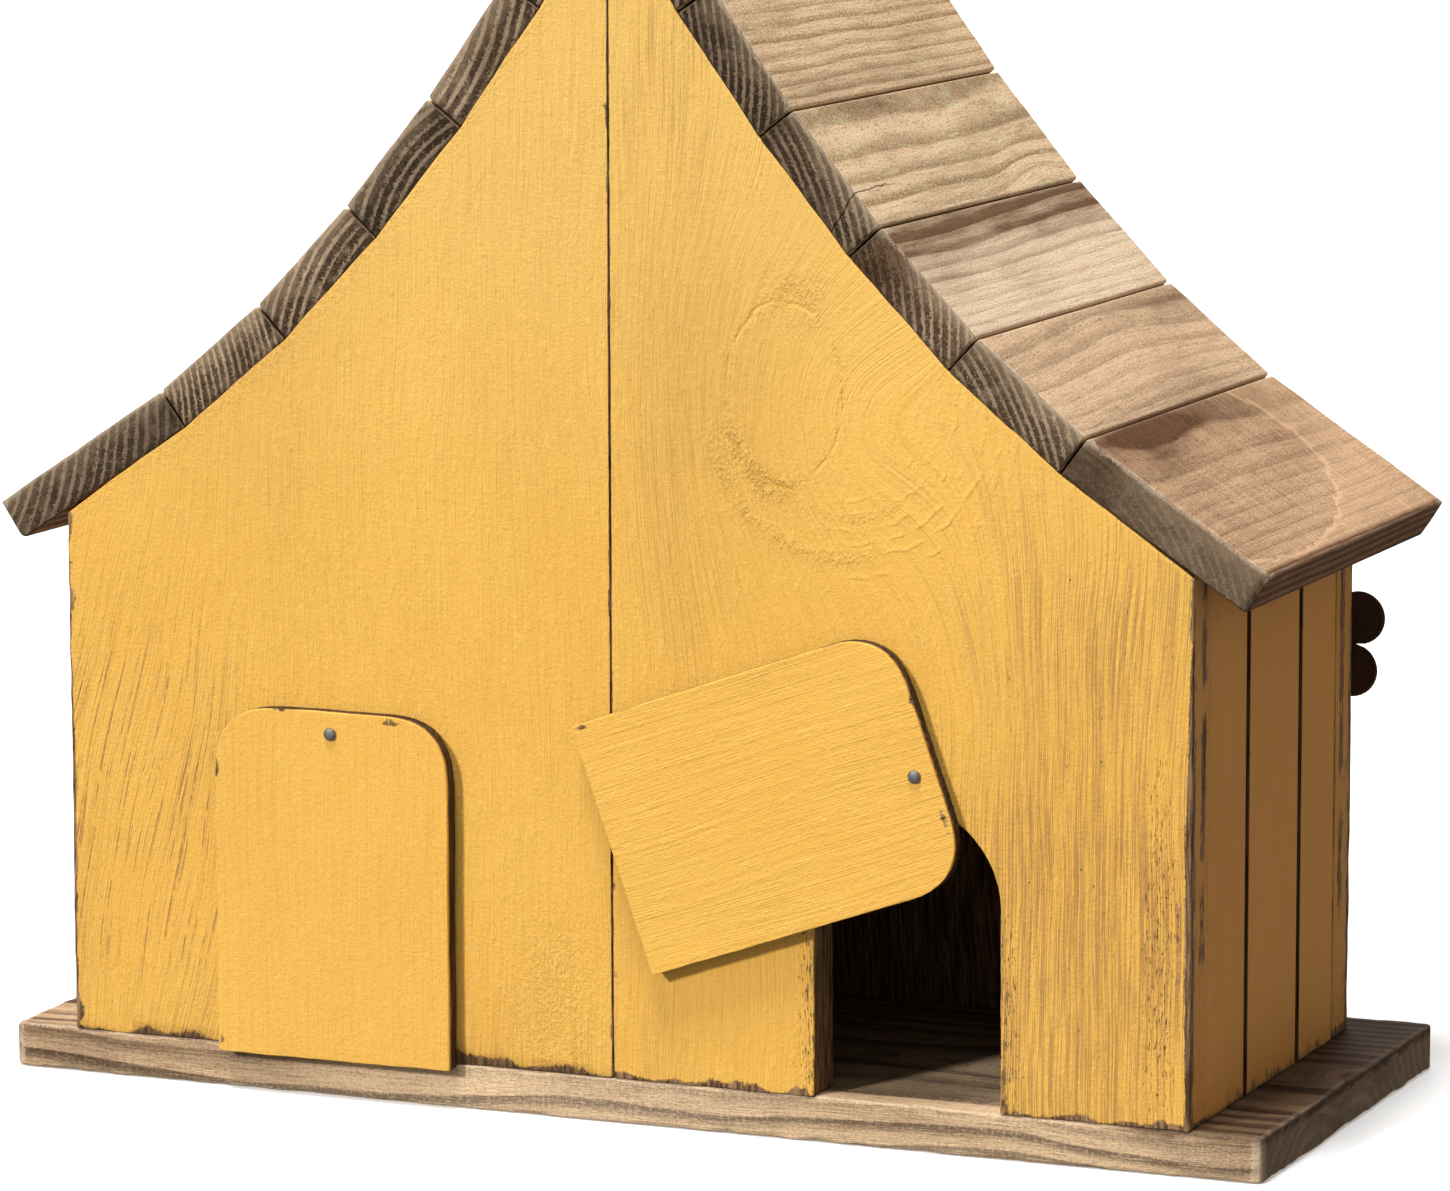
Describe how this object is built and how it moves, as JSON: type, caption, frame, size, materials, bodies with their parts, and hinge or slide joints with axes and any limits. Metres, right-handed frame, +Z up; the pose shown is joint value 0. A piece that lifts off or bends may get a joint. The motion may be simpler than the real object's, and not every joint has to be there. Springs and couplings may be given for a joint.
{
  "type": "birdhouse",
  "caption": "Wooden birdhouse with painted board walls, a swooping slat roof, round entrance holes and clean-out doors that swing on nails.",
  "frame": {"origin": "centre of the base board's underside", "axes": "+Z up; +Y towards the entrance front, so that -Y is the back with the clean-out doors; +X to the right of someone facing the back"},
  "size_m": [0.3636, 0.1533, 0.3483],
  "materials": {
    "yellow_paint": "brushed warm yellow paint over pine, worn through at the edges",
    "roof_wood": "weathered brown stain, matte",
    "base_wood": "weathered brown stain, matte",
    "bare_wood": "bare sawn pine",
    "steel": "plain grey nail steel",
    "dark_metal": "very dark brown, satin"
  },
  "bodies": {
    "house": {"base_board": "base_wood", "divider": "bare_wood", "gable_pins": "steel", "base_nails": "steel", "flower_petals": "dark_metal", "flower_spacer": "dark_metal", "flower_nail": "dark_metal", "back_gable_left": "yellow_paint", "front_gable_left": "yellow_paint", "side_wall_left": "yellow_paint", "eave_slat_left": "roof_wood", "roof_slat_left_1": "roof_wood", "roof_slat_left_2": "roof_wood", "roof_slat_left_3": "roof_wood", "roof_slat_left_4": "roof_wood", "roof_slat_left_5": "roof_wood", "door_nail_left": "steel", "roof_pins_left": "steel", "back_gable_right": "yellow_paint", "front_gable_right": "yellow_paint", "side_wall_right": "yellow_paint", "eave_slat_right": "roof_wood", "roof_slat_right_1": "roof_wood", "roof_slat_right_2": "roof_wood", "roof_slat_right_3": "roof_wood", "roof_slat_right_4": "roof_wood", "roof_slat_right_5": "roof_wood", "door_nail_right": "steel", "roof_pins_right": "steel"},
    "left_door": {"cleanout_door_left": "yellow_paint"},
    "right_door": {"cleanout_door_right": "yellow_paint"}
  },
  "joints": [
    {"name": "left_door_swing", "type": "hinge", "parent": "house", "child": "left_door", "pos_m": [-0.0798, -0.0764, 0.1001], "axis": [0, 1, 0], "range_deg": [0, 110]},
    {"name": "right_door_swing", "type": "hinge", "parent": "house", "child": "right_door", "pos_m": [0.0877, -0.0764, 0.1001], "axis": [0, 1, 0], "range_deg": [-70.5, 39.5]}
  ]
}
